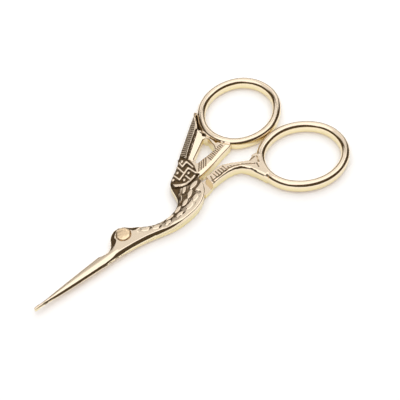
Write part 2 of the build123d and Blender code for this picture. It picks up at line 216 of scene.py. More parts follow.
# %% [markdown]
# ## Outlines
# Each half is a flat shape with a carved face, so the outline comes first. It could be drawn again
# by hand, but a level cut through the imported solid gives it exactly, just off the plane where the
# halves meet.

# %% Level cut through a solid
cut_above_middle = {"front": 0.05, "rear": -0.05}


def solid_mesh(node):
    """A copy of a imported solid, in millimetres, with its seams closed."""
    shape = bmesh.new()
    shape.from_mesh(frame["nodes"][node].data)
    bmesh.ops.scale(shape, vec=(1 / mm,) * 3, verts=shape.verts)
    bmesh.ops.remove_doubles(shape, verts=shape.verts, dist=1e-4)
    return shape


def level_cut(shape, height):
    """The closed loops in which a shape meets the level plane at that height."""
    cut = shape.copy()
    everything = cut.verts[:] + cut.edges[:] + cut.faces[:]
    found = bmesh.ops.bisect_plane(cut, geom=everything, plane_co=(0, 0, height), plane_no=(0, 0, 1))
    edges = {part for part in found["geom_cut"] if isinstance(part, bmesh.types.BMEdge)}
    loops = []
    while edges:
        # A set has no fixed order, so each loop starts at its leftmost edge and every run is alike.
        edge = min(edges, key=lambda part: sorted(tuple(vert.co) for vert in part.verts))
        edges.remove(edge)
        start, here = edge.verts
        loop = [start]
        while here is not start:
            loop.append(here)
            edge = next(other for other in here.link_edges if other in edges)
            edges.remove(edge)
            here = edge.other_vert(here)
        loops.append(np.array([vert.co.xy for vert in loop]))
    cut.free()
    return loops


cuts = {}
for half, shift in cut_above_middle.items():
    cuts[half] = level_cut(solid_mesh(half + "_half"), mid_z + shift)
    print(half, "half is cut in loops of", [len(loop) for loop in cuts[half]], "points")

# %% [markdown]
# ## Smooth edges
# The solid's curves are short straight steps, which would show in polished metal. So each run
# between two corners is drawn again as a smooth curve through the same points, in the way a bent
# spline follows its pins, and a long straight side stays straight.

# %% Smooth loop
corner_turn = 0.42
long_side = 1.6
shortest_side = 0.02


def smooth_loop(loop, spacing):
    """Points at an even spacing along a smooth curve through a loop; corners and long sides stay."""
    ahead = np.roll(loop, -1, 0) - loop
    reach = np.hypot(*ahead.T)
    loop = loop[reach > shortest_side]
    ahead = np.roll(loop, -1, 0) - loop
    reach = np.hypot(*ahead.T)
    unit = ahead / reach[:, None]
    before, length_before = np.roll(unit, 1, 0), np.roll(reach, 1)
    turn = np.arccos(np.clip((unit * before).sum(1), -1, 1))
    blend = unit * length_before[:, None] + before * reach[:, None]
    blend /= np.hypot(*blend.T)[:, None]
    straight, straight_before = reach > long_side, length_before > long_side
    corner = (turn > corner_turn) | (straight & straight_before)
    leave = np.where(straight_before[:, None], before, blend)
    leave = np.where((corner | straight)[:, None], unit, leave)
    enter = np.where(straight[:, None], unit, blend)
    enter = np.where((corner | straight_before)[:, None], before, enter)
    points = []
    for i, (start, step, side) in enumerate(zip(loop, ahead, reach)):
        j = (i + 1) % len(loop)
        t = np.linspace(0, 1, max(1, round(side / spacing)), endpoint=False)[:, None]
        out, into = leave[i] * side, enter[j] * side
        curve = out + t * (3 * step - 2 * out - into + t * (out + into - 2 * step))
        points.append(start + t * curve)
    return np.concatenate(points)


print("a corner turns more than", round(math.degrees(corner_turn)), "degrees")

# %% [markdown]
# ## Carving tools
# The carving is one height for each place on the plan, built from a few simple shapes as a
# graver would cut them: a raised oval, a raised line, a hollow with soft sides. All of them work on
# whole arrays of places at once, which is fast.


# %% Carving tools
def soft(t):
    """0 below 0, 1 above 1, and a smooth rise between."""
    t = np.clip(t, 0, 1)
    return t * t * (3 - 2 * t)


def line_gap(line, x, y):
    """Distance from each place to an open line through the given points."""
    nearest = np.full(np.shape(x), np.inf)
    for (ax, ay), (bx, by) in zip(line[:-1], line[1:]):
        ux, uy = bx - ax, by - ay
        t = np.clip(((x - ax) * ux + (y - ay) * uy) / (ux * ux + uy * uy), 0, 1)
        nearest = np.minimum(nearest, np.hypot(x - ax - t * ux, y - ay - t * uy))
    return nearest


def groove(line, width, x, y, steepness=1.6):
    """1 along a line and 0 beyond half the width from it, with a flat bottom and soft sides."""
    return soft((1 - line_gap(line, x, y) / (width / 2)) * steepness)


def within(outline, x, y):
    """Depth inside a closed outline: positive inside, negative outside."""
    closed = list(outline) + [outline[0]]
    inside = np.zeros(np.shape(x), bool)
    for (ax, ay), (bx, by) in zip(closed[:-1], closed[1:]):
        crosses = (ay > y) != (by > y)
        with np.errstate(divide="ignore", invalid="ignore"):
            inside ^= crosses & (x < ax + (y - ay) * (bx - ax) / (by - ay))
    gap = line_gap(closed, x, y)
    return np.where(inside, gap, -gap)


def oval(place, long, short, turn, x, y):
    """1 in the middle of an oval, 0 on its rim, negative outside."""
    c, s = math.cos(math.radians(turn)), math.sin(math.radians(turn))
    u = ((x - place[0]) * c + (y - place[1]) * s) / (long / 2)
    v = ((y - place[1]) * c - (x - place[0]) * s) / (short / 2)
    return 1 - np.hypot(u, v)


def rounded(share):
    """Height of a quarter-round bead: 0 at its foot, 1 on its top."""
    share = np.clip(share, 0, 1)
    return np.sqrt(share * (2 - share))


print("a bead has", round(float(rounded(0.5)), 2), "of its height half way up")

# %% [markdown]
# ## Finger rings
# A ring is an oval of four arcs, as a draughtsman draws it, and its bar has a half-round top and
# underside with a short straight side between. The rest of the script only needs to know how far
# a place lies from the middle line of the bar, and where to put points so that the round of the bar
# comes out even.

# %% Ring bar
ring_long, ring_short = 11.75, 9.95
ring_bar = 2.4
ring_splay = {"front": 14.4, "rear": -14.4}
diagonal = math.hypot(ring_long, ring_short)
end_radius = diagonal * (diagonal - ring_long + ring_short) / (2 * ring_long)
side_radius = diagonal * (diagonal + ring_long - ring_short) / (2 * ring_short)
end_shift, side_shift = ring_long - end_radius, side_radius - ring_short
join_turn = math.atan2(side_shift, end_shift)


def ring_middle(half):
    low, high = ring_boxes[half]
    return (low[0] + high[0]) / 2 / mm, (low[1] + high[1]) / 2 / mm


def ring_gap(half, x, y):
    """Distance outward from the middle line of a ring's bar; negative towards the finger."""
    cx, cy = ring_middle(half)
    lean = math.radians(ring_splay[half])
    u = np.abs((x - cx) * math.cos(lean) + (y - cy) * math.sin(lean))
    v = np.abs((y - cy) * math.cos(lean) - (x - cx) * math.sin(lean))
    past_end = np.hypot(u - end_shift, v) - end_radius
    past_side = np.hypot(u, v + side_shift) - side_radius
    return np.where(np.arctan2(v + side_shift, u) < join_turn, past_end, past_side)


def ring_rows(half, spacing):
    """Rows of places that follow a ring's bar, closer together towards its sides."""
    cx, cy = ring_middle(half)
    lean = math.radians(ring_splay[half])
    around = np.arange(0, 2 * math.pi, spacing / ring_long)
    u, v = np.abs(np.cos(around)), np.abs(np.sin(around))
    join_x = end_shift + end_radius * math.cos(join_turn)
    on_end = np.arctan2(v, u) < math.atan2(end_radius * math.sin(join_turn), join_x)
    rows = []
    for tilt in range(-80, 90, 10):
        shift = ring_bar / 2 * math.sin(math.radians(tilt))
        end_square = np.maximum((end_radius + shift) ** 2 - (end_shift * v) ** 2, 0)
        side_square = (side_radius + shift) ** 2 - (side_shift * u) ** 2
        end_reach, side_reach = end_shift * u + np.sqrt(end_square), np.sqrt(side_square) - side_shift * v
        reach = np.where(on_end, end_reach, side_reach)
        px, py = np.cos(around) * reach, np.sin(around) * reach
        row_x = cx + px * math.cos(lean) - py * math.sin(lean)
        row_y = cy + px * math.sin(lean) + py * math.cos(lean)
        rows.append(np.stack([row_x, row_y], 1))
    return np.concatenate(rows)


print("ring arcs", round(end_radius, 2), "and", round(side_radius, 2), "mm")

# %% [markdown]
# ## Feathers
# The real halves are struck between dies and finished with a graver. Rows of small drop-shaped
# feathers cover the neck and the body, and stand up from a ground that is cut deep by the nape and
# shallow by the belly. They could be sculpted, but a raised oval for each, read off the photograph,
# can be moved or resized later. Short extra cuts deepen the narrow places between them, and their
# depth paints dark shade into the colour there.

# %% Feathers
feathers = [
    ((2.4, 1.15), 2.5, 1.0, 33), ((5.3, 0.65), 3.3, 1.2, 13), ((2.6, -0.8), 2.9, 1.15, 27),
    ((-0.35, -0.4), 2.5, 0.8, 37), ((-0.2, -2.0), 2.7, 1.0, 18), ((-3.1, -2.4), 2.6, 0.95, 14),
    ((-6.1, -2.8), 2.4, 0.85, -2), ((-7.5, -3.65), 1.9, 0.8, 5), ((-3.7, -3.75), 2.3, 0.8, 4),
    ((-0.1, -3.6), 2.2, 0.85, 12), ((2.9, -2.5), 2.3, 1.0, 22), ((-10.6, -2.6), 2.0, 0.9, -20),
    ((-9.7, -1.95), 1.2, 0.55, -15), ((-12.9, -1.2), 2.2, 1.0, -28),
]
feather_gaps = [
    ([(1.0, -0.4), (1.5, -0.7)], 0.8), ([(1.4, 0.3), (3.6, 0.2)], 0.45),
    ([(1.8, -2.0), (3.6, -1.5)], 0.4), ([(-1.3, -1.5), (0.2, -1.2)], 0.4),
    ([(-1.9, -2.8), (0.0, -2.75), (1.6, -2.3)], 0.35), ([(-4.4, -3.0), (-2.5, -3.05)], 0.4),
    ([(-1.6, -2.7), (-1.5, -2.5)], 0.6), ([(-12.35, -1.85), (-11.6, -1.75)], 0.45),
    ([(-10.1, -3.25), (-9.4, -3.1)], 0.4), ([(-6.8, -3.5), (-6.2, -3.5)], 0.4),
    ([(-8.6, -2.9), (-7.6, -2.75)], 0.4), ([(-2.9, -4.2), (-2.2, -4.1)], 0.35),
    ([(-5.2, -3.4), (-4.9, -3.2)], 0.4),
]
deep_line = [(-13.8, 1.05), (-11.8, -0.55), (-9.8, -1.7), (-7.5, -2.2), (-5.0, -2.15), (-3.0, -1.55)]
deep_line += [(-1.3, -0.7), (1.3, -0.2), (3.8, -0.1), (6.6, 1.1)]
deep_line_gaps, ground_depths = [0.9, 1.8, 2.8], [0.36, 0.22, 0.06]
groove_reach = 0.5
gap_depth = 0.45
feather_growth = 1.16
feather_rim = 0.4
neck_start_x, neck_length, neck_share = -14, 9, 0.35


def body_carving(x, y):
    """Depth of the grooves round the feathers, deep by the nape and shallow by the belly."""
    gap = np.full(np.shape(x), np.inf)
    raised = np.zeros(np.shape(x))
    for place, long, short, turn in feathers:
        inside = oval(place, long * feather_growth, short * feather_growth, turn, x, y)
        gap = np.minimum(gap, -inside * short / 2)
        raised = np.maximum(raised, inside)
    full = np.interp(line_gap(deep_line, x, y), deep_line_gaps, ground_depths)
    full = full * np.clip((x - neck_start_x) / neck_length, neck_share, 1)
    ground = full * soft(2 * (1 - np.maximum(gap, 0) / groove_reach))
    for line, width in feather_gaps:
        ground = np.maximum(ground, gap_depth * groove(line, width, x, y))
    return ground * (1 - rounded(raised / feather_rim))


print(len(feathers), "feathers and", len(feather_gaps), "cuts between them")

# %% [markdown]
# ## Shoulder
# A key fret stands on a sunken panel between the body and the wing: bent bars with small studs
# between them. Below the panel a deep fold parts it from the body, and a wedge-shaped hollow opens
# where the fold meets the neck. Bars and studs are beads, taken away from the depth of the panel.

# %% Shoulder
panel = [
    (1.0, 5.0), (1.6, 4.2), (2.5, 3.4), (3.4, 2.8), (4.6, 2.4), (6.0, 2.2), (8.1, 2.2), (8.9, 3.5),
    (9.8, 5.1), (10.1, 6.6), (10.1, 8.1), (10.0, 11.0), (7.6, 10.2), (5.6, 9.0), (2.6, 7.2), (0.4, 5.8),
]
panel_depth, panel_rim = 0.42, 0.22
fret = [
    [(3.6, 6.3), (3.75, 4.4), (8.1, 5.75), (8.4, 3.3)],
    [(6.15, 7.8), (6.05, 5.3)],
    [(7.5, 8.5), (7.3, 7.1), (9.2, 7.6), (9.2, 5.2)],
    [(5.85, 4.2), (5.85, 2.4), (7.6, 2.75)],
]
fret_width, fret_rim = 0.8, 0.85
studs = [(4.9, 6.4), (2.5, 5.4), (4.6, 3.5), (7.0, 4.4), (4.9, 2.25), (8.4, 8.4)]
stud_long, stud_short, stud_turn, stud_rim = 1.3, 0.95, 20, 0.6
fold = [(0.5, 3.9), (1.3, 3.0), (2.4, 2.2), (4.1, 1.75), (5.4, 1.7), (7.0, 1.95), (8.6, 2.35)]
fold_width, fold_depth = 0.65, 0.6
wedge = [(-0.2, 1.3), (0.5, 1.0), (1.8, 2.0), (3.4, 1.95), (2.4, 2.5), (1.0, 3.9), (0.2, 4.3)]
wedge.append((-0.2, 2.6))
wedge_depth, wedge_rim = 0.45, 0.3


def shoulder_carving(x, y):
    """Depth of the key fret's ground and of the fold between it and the body."""
    ground = panel_depth * soft(within(panel, x, y) / panel_rim)
    raised = np.zeros(np.shape(x))
    for line in fret:
        bar_share = 1 - line_gap(line, x, y) / (fret_width / 2)
        raised = np.maximum(raised, rounded(bar_share / fret_rim))
    for stud in studs:
        stud_share = oval(stud, stud_long, stud_short, stud_turn, x, y)
        raised = np.maximum(raised, rounded(stud_share / stud_rim))
    hollow = wedge_depth * soft(within(wedge, x, y) / wedge_rim)
    hollow = np.maximum(hollow, fold_depth * groove(fold, fold_width, x, y))
    return np.maximum(ground * (1 - raised), hollow)


print(len(fret), "fret bars and", len(studs), "studs on a ground", panel_depth, "mm deep")

# %% [markdown]
# ## Wing
# Fine ribs cross the wing, and short ticks notch its inner edge. One wave along the wing gives all
# the ribs, so their number is a single value, and the same wave paints dark shade into the colour
# between the ribs and makes the hollows rougher there. Beside the wing runs a plain bar that leans a
# little, with a groove between the two, and behind it lies a deep web with a round knee.

# %% Wing
wing_outer = [(8.0, 9.75), (22.6, 19.0)]
wing_inner = [(9.8, 8.6), (12.0, 10.1), (14.3, 11.6), (17.0, 13.3), (19.0, 14.7), (20.2, 15.7)]
wing_inner.append((21.4, 17.2))
wing_strip = wing_inner + [(22.9, 19.6), (7.6, 10.2)]
rib_count, rib_depth, rib_slant = 23, 0.08, 0.1
strip_depth, strip_rim = 0.06, 0.2
wing_width, wing_fall = 2.1, 0.75
tick_count, tick_reach, tick_share = 23, 0.3, 0.85
bar = [(9.9, 7.9), (18.7, 13.5), (19.5, 10.6), (10.4, 6.2)]
bar_tilt, bar_rim = 0.17, 0.2
wing_groove = [(10.0, 8.1), (11.0, 8.95), (14.0, 10.95), (18.8, 13.9)]
wing_groove_depth, wing_groove_width = 0.5, 0.6
web_hollow = [
    (18.9, 13.2), (20.2, 12.7), (20.3, 9.9), (19.5, 9.7), (19.3, 6.9), (20.2, 6.8), (20.9, 9.2),
    (21.0, 12.5), (21.5, 12.6), (22.4, 16.0), (23.0, 18.3), (21.9, 17.7), (20.9, 16.0), (19.2, 14.1),
]
web_depth, web_rim = 0.9, 0.3
knee_place, knee_size, knee_depth = (19.2, 11.4), 1.1, 0.6


def wing_carving(x, y):
    """Depth of the wing's ribs, groove and hollows, fall of its faces, and its painted shade and dulling."""
    strip = soft(within(wing_strip, x, y) / strip_rim)
    (ax, ay), (bx, by) = wing_outer
    length = math.hypot(bx - ax, by - ay)
    run = ((x - ax) * (bx - ax) + (y - ay) * (by - ay)) / length
    across = ((y - ay) * (bx - ax) - (x - ax) * (by - ay)) / length
    wave = soft(0.5 + 0.8 * np.cos(2 * math.pi * (run + rib_slant * across) * rib_count / length))
    ticks = 0.5 + 0.5 * np.cos(2 * math.pi * run * tick_count / length)
    edge = soft(1 - line_gap(wing_inner, x, y) / tick_reach)
    ribs = strip * (strip_depth + rib_depth * wave) * (1 - edge * ticks * tick_share)
    web = soft(within(web_hollow, x, y) / web_rim)
    knee = rounded(oval(knee_place, knee_size, knee_size, 0, x, y) * 2)
    depth = np.maximum(ribs, wing_groove_depth * groove(wing_groove, wing_groove_width, x, y))
    depth = np.maximum(depth, np.maximum(web_depth * web, knee_depth * knee))
    fall = strip * wing_fall * np.clip((across + wing_width) / wing_width, 0, 1)
    below_groove = np.interp(x, *np.array(wing_groove).T) - y
    fall += bar_tilt * soft(within(bar, x, y) / bar_rim) * below_groove
    # The third value is painted shade between the ribs, which also dulls them.
    return depth, fall, strip * wave * (1 - edge * ticks)


print(rib_count, "ribs on a wing", round(math.dist(*wing_outer), 1), "mm long")

# %% [markdown]
# ## Legs
# Short cuts across both legs stand for the scales of a bird's leg, with longer lines along the
# brace and the rear foot, and rounded toes on the front one. A graver's cut is a line of one width
# and one depth, so a list of lines is all that is needed.

# %% Legs
thigh_cuts = [((9.3 + 0.85 * i, 3.0), (11.4 + 0.8 * i, 5.0)) for i in range(4)]
shank_cuts = [((14.3 + 0.61 * i, 3.5 + 0.15 * i), (14.3 + 0.61 * i, 4.8 + 0.1 * i)) for i in range(10)]
rear_cuts = [((11.4 + 0.9 * i, -0.2), (11.4 + 0.9 * i, -1.3)) for i in range(5)]
rear_cuts += [((15.8, -1.2), (15.8, -1.7)), ((16.6, -1.4), (16.6, -1.9))]
rear_lines = [
    [(10.3, -0.5), (9.95, -1.5), (9.8, -3.2)],
    [(9.6, -1.75), (13.0, -1.75), (15.5, -1.7), (17.0, -2.05), (19.0, -3.05), (21.7, -5.2)],
    [(15.0, 0.65), (17.5, -0.6), (21.5, -3.3)],
    [(19.9, -5.7), (20.3, -7.6), (20.8, -9.5)],
    [(23.9, -3.9), (22.9, -5.5)], [(22.2, -5.5), (21.8, -6.7)], [(21.6, -3.6), (23.4, -3.5)],
]
cut_depth, cut_steepness = 0.26, 1.5
cut_width, thigh_cut_width = 0.38, 0.28
toes = [((20.7, 7.9), 1.1, 0.7, 70), ((20.8, 6.2), 1.2, 0.75, -20), ((23.0, 4.9), 1.3, 0.8, -35)]
toe_groove_depth, toe_groove_share, toe_groove_outset = 0.35, 0.35, 0.1


def hatching(lines, width, x, y):
    """Depth of cuts of the given width along the given lines."""
    depth = np.zeros(np.shape(x))
    for line in lines:
        depth = np.maximum(depth, cut_depth * groove(line, width, x, y, cut_steepness))
    return depth


def front_leg_carving(x, y):
    thigh, shank = hatching(thigh_cuts, thigh_cut_width, x, y), hatching(shank_cuts, cut_width, x, y)
    depth = np.maximum(thigh, shank)
    for place, long, short, turn in toes:
        off_rim = np.abs(oval(place, long, short, turn, x, y) + toe_groove_outset)
        depth = np.maximum(depth, toe_groove_depth * soft(1 - off_rim / toe_groove_share))
    return depth


def rear_leg_carving(x, y):
    return hatching(rear_cuts + rear_lines, cut_width, x, y)


print(len(thigh_cuts + shank_cuts), "cuts on the front leg and", len(rear_cuts), "on the rear leg")

# %% [markdown]
# ## Height of a half
# Half the pair's thickness grows in a straight line along the blade and then swells to the neck.
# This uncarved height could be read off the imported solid, but a short formula stays smooth where
# the solid's facets would show.

# %% Height of a half
heel_x, neck_end_x = pivot_x - 8.4, pivot_x + 12.0
point_half, heel_half = 0.55, 0.90


def half_height(x):
    """Height of the uncarved outer face above the middle plane."""
    blade = point_half + (heel_half - point_half) * (x - point_x) / (heel_x - point_x)
    u = np.clip((x - heel_x) / (neck_end_x - heel_x), 0, 1)
    return np.where(x < heel_x, blade, heel_half + (mid_z - heel_half) * u * (1.5 - 0.5 * u))


print("half height from point to rings", point_half, heel_half, round(mid_z, 2), "mm")

# %% [markdown]
# ## Blade and crown
# The blade's face is two flats that meet in a ridge, and the bird's crown is a band that leans away
# from the eye. Polished flats like these are what the light draws, so they are planes with a lean
# and not bumps in the material. A bent line with its crease a little rounded gives each of them.

# %% Blade and crown
ridge_line = [(-46.6, 0.0), (-40.0, -0.1), (-35.0, -0.25), (-30.0, -0.4), (-26.0, -0.6), (-22.0, -0.75)]
upper_tilt, lower_tilt = 0.08, 0.17
facet_end_x, facet_fade = -20, 4
crown_stations = [-25, -23, -21.5, -20, -18.5, -17.3, -16.2, -15, -14, -12.5, -11, -9]
crown_widths = [0.1, 0.8, 1.6, 1.5, 0.9, 1.0, 1.6, 1.7, 1.3, 0.9, 0.7, 0.2]
crown_tilt_stations, crown_tilts = [-17.5, -16.2], [0.52, 0.43]
crease, fine_crease = 0.06, 0.03


def bent(distance, softness=crease):
    """Distance past a crease, with the crease itself a little rounded."""
    return 0.5 * (distance + np.hypot(distance, softness))


def blade_fall(x, y):
    """Fall of the blade's two flats away from their ridge."""
    ridge = np.interp(x, *np.array(ridge_line).T)
    flats = lower_tilt * bent(ridge - y) + upper_tilt * bent(y - ridge)
    return flats * soft((facet_end_x - x) / facet_fade)


def crown_fall(nx, gap, low_side):
    """Fall of the band along the crown, for places nearest to the outline at nx."""
    on_crown = (nx > crown_stations[0]) & (nx < crown_stations[-1]) & ~low_side
    band = bent(np.interp(nx, crown_stations, crown_widths) - gap)
    return np.where(on_crown, np.interp(nx, crown_tilt_stations, crown_tilts) * band, 0)


print("the crown's band is at most", max(crown_widths), "mm wide")

# %% [markdown]
# ## Bevels
# Where the halves left the dies their sides lean a little, and the file has taken off the edges: a
# steep bevel along the spine, a broad one on the belly, legs and brace, a groove round the nape and
# a thin flat along the cutting edge. A bevel modifier would make them all alike; here stations
# along the outline, by their x, say how wide each one is. In these functions near is the place on
# the outline nearest to each point of the mesh, nx is its x, and gap is how far off it lies.

# %% Spine, nape and cutting edge
low_side_line = [(-47, 0), (-26, -0.5), (-14, -1.8), (-4, -2.8)]
spine_stations = [-47, -44, -36, -30, -27, -25, -24, -23, -22, -20.5, -19, -16, -14, -12, -10, -8, -4]
spine_widths = [0.02, 0.22, 0.28, 0.3, 0.28, 0.28, 0.4, 0.65, 0.72, 0.7, 0.65, 0.65, 0.68, 0.62, 0.52]
spine_widths += [0.42, 0.1]
spine_steep_stations, spine_steeps = [-23, -20, -16], [0.65, 0.8, 1.0]
draft_stations = [-47, -43, -27, -22, -18, -12]
draft_widths = [0.02, 0.22, 0.3, 0.2, 0.12, 0.0]
draft_steep = 1.3
blade_end_x, edge_point_x, edge_growth = -24, -47.5, 6
edge_width, edge_steep = 0.33, 0.5
nape_side = [(-14, -1.5), (-10, -2.6), (-5, -3.0), (0, 0), (3.6, 5.0)]
nape_stations = [-13.8, -13, -5, -2.5, -1.3, -0.3, 0.2, 0.7, 1.3, 3.0, 3.6]
nape_widths = [0.02, 0.35, 0.35, 0.5, 0.8, 1.3, 1.7, 1.0, 0.5, 0.3, 0.3]
nape_depth = 0.45


def on_low_side(x, near):
    """Whether each place belongs to the long outer side of blade and neck, away from the crown."""
    nx, ny = near.T
    return (x < low_side_line[-1][0]) & (ny < np.interp(nx, *np.array(low_side_line).T))


def spine_bevel(nx, gap, low_side):
    """Fall of the filed spine and of the leaning side below it."""
    width = np.interp(nx, spine_stations, spine_widths)
    draft = np.interp(nx, draft_stations, draft_widths)
    filed = np.interp(nx, spine_steep_stations, spine_steeps) * bent(width + draft - gap)
    side = np.where(draft > 0, draft_steep * bent(draft - gap, fine_crease), 0)
    return np.where(low_side, filed + side, 0)


def cutting_flat(x, gap, low_side):
    """Fall of the thin flat along the cutting edge, which runs out at the point."""
    width = edge_width * soft((x - edge_point_x) / edge_growth)
    flat = edge_steep * bent(width - gap, fine_crease)
    return np.where((x < blade_end_x) & ~low_side, flat, 0)


def nape_groove(near, gap):
    """Depth of the groove that follows the outline of the nape."""
    nx, ny = near.T
    by_nape = (nx > nape_stations[0]) & (nx < nape_stations[-1])
    by_nape &= ny > np.interp(nx, *np.array(nape_side).T)
    share = 1 - gap / np.interp(nx, nape_stations, nape_widths)
    return np.where(by_nape, nape_depth * soft(1.3 * share), 0)


print("spine bevel up to", max(spine_widths), "mm, nape groove up to", max(nape_widths), "mm wide")

# %% Belly, legs and rims
belly_side = [(-12, -2.6), (-4, -3.5), (3, -3.0), (7.2, 0)]
belly_tilt, belly_width = 0.18, 0.4
leg_bevel = [(9.0, 1.6), (12.0, 1.95), (14.0, 2.2), (16.0, 2.6), (18.0, 3.05), (20.8, 3.7)]
brace_bevel = [(9.5, -2.5), (12.5, -2.35), (15.0, -2.5), (16.8, -2.95), (18.4, -3.9), (19.5, -5.4)]
brace_bevel += [(20.1, -7.2), (20.7, -9.4), (21.4, -11.9), (22.6, -14.2)]
leg_bevel_size, brace_bevel_size = (1.1, 0.24), (0.7, 0.2)
bevel_reach = 0.5
rim_stations = [10, 12, 14, 16, 17.5, 18.5, 19.3, 20.0]
rim_radii = [0.25, 0.3, 0.4, 0.5, 0.75, 0.9, 0.5, 0.25]
rim_radius = 0.25


def belly_bevel(near, gap, low_side):
    """Fall of the belly towards its edge, wider where the spine's bevel is beside it."""
    nx, ny = near.T
    by_belly = (nx > belly_side[0][0]) & (nx < belly_side[-1][0])
    by_belly &= ny < np.interp(nx, *np.array(belly_side).T)
    spine_width = np.where(low_side, np.interp(nx, spine_stations, spine_widths), 0)
    return np.where(by_belly, belly_tilt * bent(spine_width + belly_width - gap), 0)


def leg_bevels(near, gap):
    """Fall of the bevels along the front leg and the brace."""
    fall = 0
    for line, (wide, tall) in ((leg_bevel, leg_bevel_size), (brace_bevel, brace_bevel_size)):
        close = soft(1.6 - line_gap(line, *near.T) / bevel_reach)
        fall += close * tall / wide * bent(wide - gap)
    return fall


def rim_round(near, gap):
    """Fall of the rounded rim, whose radius grows along the brace."""
    by_brace = line_gap(brace_bevel, *near.T) < bevel_reach
    radius = np.where(by_brace, np.interp(near[:, 0], rim_stations, rim_radii), rim_radius)
    round_off = radius - np.sqrt(np.maximum(radius**2 - (radius - gap) ** 2, 0))
    return np.where(gap < radius, round_off, 0)


print("rims are rounded by", rim_radius, "to", max(rim_radii), "mm")

# %% [markdown]
# ## From plan to height
# Everything above comes together here as one height for each place: the uncarved height, less the
# carving, less the bevels. The screw's seat is cut flat, and the ring's half-round bar rises out of
# the plate that carries it, which drops a little towards the ring on the front half.

# %% Outer face
seat_radius, seat_height = 2.0, 1.15
plate_drop, plate_drop_reach = 0.5, 0.8
plate_fall, plate_fall_reach = 1.3, 0.35
bar_margin = 0.04
full_shade_depth, wing_shade_and_dullness = 0.42, 0.95
wall_line = 0.01
least_height = 0.1


def with_ring(half, x, y, height, gap_outside):
    """The height with the finger ring's bar let into it, and where that bar is."""
    rho = ring_gap(half, x, y)
    on_bar = np.abs(rho) < ring_bar / 2 + bar_margin
    bead = mid_z - ring_bar / 2 + np.sqrt(np.maximum((ring_bar / 2) ** 2 - rho**2, 0))
    drop = plate_drop if half == "front" else 0.0
    drop = drop * (1 - soft((rho - ring_bar / 2) / plate_drop_reach))
    spare = gap_outside - (ring_bar / 2 - rho)
    plate = height - drop - plate_fall * (1 - soft(spare / plate_fall_reach))
    ring = np.where(rho > 0, np.maximum(bead, plate), bead)
    return np.where(on_bar, ring, np.where(rho > 0, height - drop, height)), on_bar


def outer_height(half, x, y, near, gap, gap_outside):
    """Height of a half's carved outer face above the middle plane, and its painted hollow shade and dulling."""
    low_side = on_low_side(x, near)
    carving = np.maximum(np.maximum(body_carving(x, y), shoulder_carving(x, y)), nape_groove(near, gap))
    fall = rib_shade_and_dullness = 0
    if half == "front":
        wing, fall, rib_shade_and_dullness = wing_carving(x, y)
        carving = np.maximum(carving, np.maximum(wing, front_leg_carving(x, y)))
    else:
        carving = np.maximum(carving, rear_leg_carving(x, y))
    bevels = spine_bevel(near[:, 0], gap, low_side) + belly_bevel(near, gap, low_side)
    bevels = bevels + leg_bevels(near, gap)
    rim = np.where(low_side | (x < blade_end_x), 0, rim_round(near, gap))
    height = half_height(x) - carving - fall - blade_fall(x, y) - crown_fall(near[:, 0], gap, low_side)
    height = height - bevels - cutting_flat(x, gap, low_side) - rim
    if half == "front":
        height = np.where(np.hypot(x - pivot_x, y - pivot_y) < seat_radius, seat_height, height)
    height, on_bar = with_ring(half, x, y, height, gap_outside)
    # Painted shade: this value darkens the colour of deep carving and of the wing's rib hollows, and dulls them.
    hollow = np.maximum(soft(carving / full_shade_depth), wing_shade_and_dullness * rib_shade_and_dullness)
    return np.maximum(height, least_height), np.where(on_bar | (gap < wall_line), 0, hollow)


print("the screw's seat is", seat_height, "mm above the middle plane")

# %% [markdown]
# ## Points of the mesh
# The carved face is a height over a plan, so its mesh is a sheet of triangles over the outline.
# A Delaunay triangulation joins any set of points, so the points can be close where the shape bends
# quickly: in rows along the edges and round the ring bar, and in an even grid over the carving. A
# grid alone, displaced by a modifier, would leave every edge of the outline ragged.


# %% Outline
row_share = 0.93


